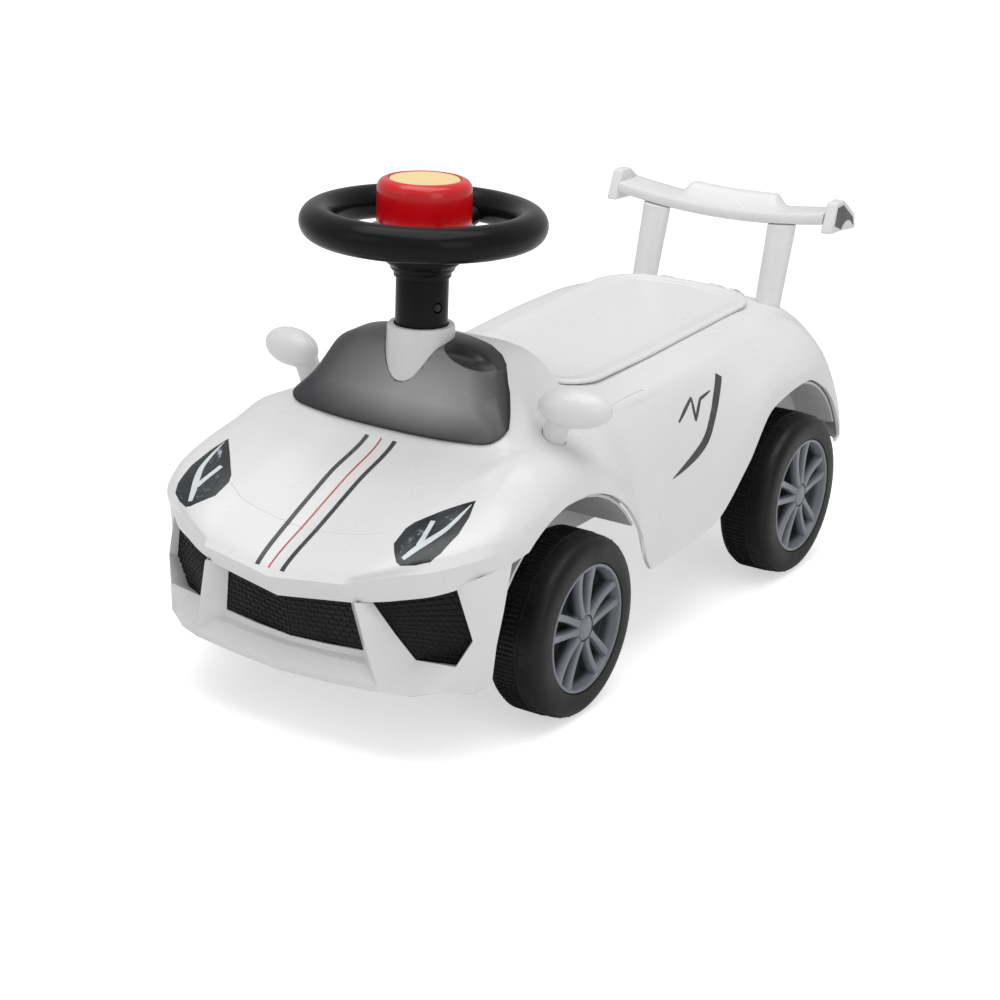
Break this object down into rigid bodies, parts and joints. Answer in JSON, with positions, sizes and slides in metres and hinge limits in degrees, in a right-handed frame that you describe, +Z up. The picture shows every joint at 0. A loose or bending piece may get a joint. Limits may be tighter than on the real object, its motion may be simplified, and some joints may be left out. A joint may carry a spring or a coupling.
{
  "type": "kids ride-on car",
  "caption": "Foot-to-floor ride-on toy car with a white moulded body, steering wheel with horn button, lidded seat bin, rear spoiler and plastic wheels.",
  "frame": {"origin": "centre of the footprint, on the floor under the tyres", "axes": "+Z up, -Y towards the nose, +X towards the car's left side"},
  "size_m": [0.294, 0.6477, 0.3534],
  "materials": {
    "white_plastic": "satin gloss moulded polypropylene",
    "black_plastic": "fine satin",
    "grille_black": "matte moulded net",
    "tyre_black": "satin blow-moulded polyethylene",
    "hub_grey": "satin bluish grey",
    "button_red": "gloss",
    "badge_tan": "printed label, satin",
    "smoked_panel": "gloss with a soft gradient",
    "silver_plate": "silver paint",
    "zinc_steel": "zinc plated"
  },
  "bodies": {
    "body": {"body_shell": "white_plastic", "front_bumper": "white_plastic", "hinge_bracket": "white_plastic", "storage_bin": "white_plastic", "steering_collar": "white_plastic", "mirror_left": "white_plastic", "mirror_right": "white_plastic", "spoiler_post_left": "white_plastic", "spoiler_post_right": "white_plastic", "spoiler_wing": "white_plastic", "wing_cap_left": "white_plastic", "wing_cap_right": "white_plastic", "chassis": "white_plastic", "front_liner_left": "white_plastic", "front_liner_right": "white_plastic", "rear_liner_left": "white_plastic", "rear_liner_right": "white_plastic", "front_axle_carrier": "black_plastic", "axle_bush_left": "black_plastic", "axle_bush_right": "black_plastic", "hinge_pin": "zinc_steel", "kingpin_left": "zinc_steel", "kingpin_right": "zinc_steel", "rear_axle": "zinc_steel", "push_nut_rear_left": "zinc_steel", "push_nut_rear_right": "zinc_steel", "centre_grille": "grille_black", "vent_mesh_left": "grille_black", "vent_mesh_right": "grille_black", "windscreen_panel": "smoked_panel"},
    "steering": {"steering_column": "black_plastic", "steering_wheel": "black_plastic", "horn_plate": "silver_plate", "sound_box": "black_plastic", "button_spring": "zinc_steel", "column_screw_left": "zinc_steel", "column_screw_right": "zinc_steel", "steering_rod": "zinc_steel"},
    "horn": {"horn_button": "button_red", "horn_badge": "badge_tan"},
    "lid": {"seat_lid": "white_plastic"},
    "knuckle_left": {"steering_knuckle_left": "black_plastic", "stub_axle_left": "zinc_steel", "push_nut_front_left": "zinc_steel"},
    "knuckle_right": {"steering_knuckle_right": "black_plastic", "stub_axle_right": "zinc_steel", "push_nut_front_right": "zinc_steel"},
    "tie_rod": {"tie_rod": "zinc_steel"},
    "wheel_front_left": {"tyre_front_left": "tyre_black", "hub_cap_front_left": "hub_grey"},
    "wheel_front_right": {"tyre_front_right": "tyre_black", "hub_cap_front_right": "hub_grey"},
    "wheel_rear_left": {"tyre_rear_left": "tyre_black", "hub_cap_rear_left": "hub_grey"},
    "wheel_rear_right": {"tyre_rear_right": "tyre_black", "hub_cap_rear_right": "hub_grey"}
  },
  "joints": [
    {"name": "steering_turn", "type": "hinge", "parent": "body", "child": "steering", "pos_m": [0, -0.15495, 0.25], "axis": [0, 0.0175, 0.9998], "range_deg": [-25, 25]},
    {"name": "horn_press", "type": "slide", "parent": "steering", "child": "horn", "axis": [0, -0.0175, -0.9998], "range_m": [0, 0.003], "stiffness_N_per_m": 600, "springref_m": -0.002, "deforming": ["button_spring"]},
    {"name": "lid_open", "type": "hinge", "parent": "body", "child": "lid", "pos_m": [0, 0.2491, 0.197], "axis": [-1, 0, 0], "range_deg": [0, 80]},
    {"name": "knuckle_turn_left", "type": "hinge", "parent": "body", "child": "knuckle_left", "pos_m": [0.084, -0.1629, 0.065], "axis": [0, 0, 1], "range_deg": [-25, 25]},
    {"name": "wheel_spin_front_left", "type": "hinge", "parent": "knuckle_left", "child": "wheel_front_left", "pos_m": [0.126, -0.1629, 0.065], "axis": [1, 0, 0], "continuous": true},
    {"name": "wheel_spin_rear_left", "type": "hinge", "parent": "body", "child": "wheel_rear_left", "pos_m": [0.126, 0.1691, 0.065], "axis": [1, 0, 0], "continuous": true},
    {"name": "knuckle_turn_right", "type": "hinge", "parent": "body", "child": "knuckle_right", "pos_m": [-0.084, -0.1629, 0.065], "axis": [0, 0, 1], "range_deg": [-25, 25]},
    {"name": "wheel_spin_front_right", "type": "hinge", "parent": "knuckle_right", "child": "wheel_front_right", "pos_m": [-0.126, -0.1629, 0.065], "axis": [1, 0, 0], "continuous": true},
    {"name": "wheel_spin_rear_right", "type": "hinge", "parent": "body", "child": "wheel_rear_right", "pos_m": [-0.126, 0.1691, 0.065], "axis": [1, 0, 0], "continuous": true},
    {"name": "tie_rod_swing", "type": "hinge", "parent": "knuckle_left", "child": "tie_rod", "pos_m": [0.084, -0.1249, 0.06], "axis": [0, 0, 1], "range_deg": [-25, 25]}
  ],
  "couplings": [
    {"joint": "knuckle_turn_left", "follows": "steering_turn", "ratio": 1},
    {"joint": "knuckle_turn_right", "follows": "steering_turn", "ratio": 1},
    {"joint": "tie_rod_swing", "follows": "steering_turn", "ratio": -1}
  ]
}
